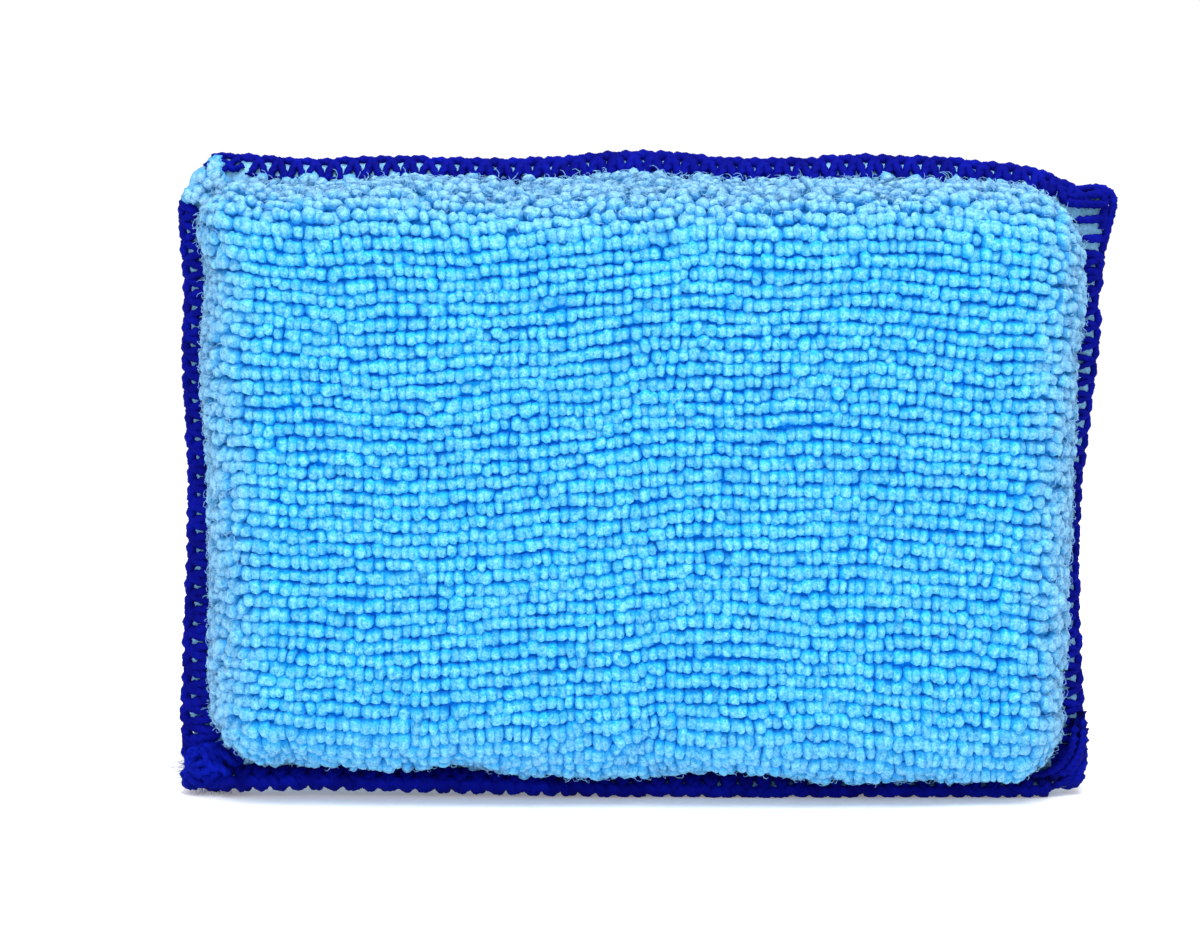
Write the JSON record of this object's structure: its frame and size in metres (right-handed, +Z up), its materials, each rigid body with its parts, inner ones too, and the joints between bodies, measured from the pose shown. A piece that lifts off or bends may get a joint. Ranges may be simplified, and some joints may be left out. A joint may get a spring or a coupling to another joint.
{
  "type": "polishing pad",
  "caption": "Rectangular microfibre terry polishing pad: a foam block in two sewn covers with a dark serged seam all round, standing on one long side.",
  "frame": {"origin": "on the surface the pad stands on, under the middle of the pad's bounding box", "axes": "+X along the pad's length, +Y from the working face to the back face through the thickness, +Z up across the pad's height"},
  "size_m": [0.1304, 0.027, 0.0897],
  "materials": {
    "terry": "light blue microfibre terry, soft loops with a pale sheen",
    "seam_thread": "royal blue textured polyester overlock thread, matte and slightly fuzzy",
    "foam": "open-cell polyurethane foam, matte"
  },
  "bodies": {
    "root": {"foam_core": "foam", "front_cover": "terry", "back_cover": "terry", "top_needle_thread": "seam_thread", "top_upper_looper_thread": "seam_thread", "top_lower_looper_thread": "seam_thread", "right_needle_thread": "seam_thread", "right_upper_looper_thread": "seam_thread", "right_lower_looper_thread": "seam_thread", "bottom_needle_thread": "seam_thread", "bottom_upper_looper_thread": "seam_thread", "bottom_lower_looper_thread": "seam_thread", "left_needle_thread": "seam_thread", "left_upper_looper_thread": "seam_thread", "left_lower_looper_thread": "seam_thread", "top_left_thread_tail": "seam_thread", "top_right_thread_tail": "seam_thread", "bottom_left_thread_tail": "seam_thread", "bottom_right_thread_tail": "seam_thread"}
  },
  "joints": []
}
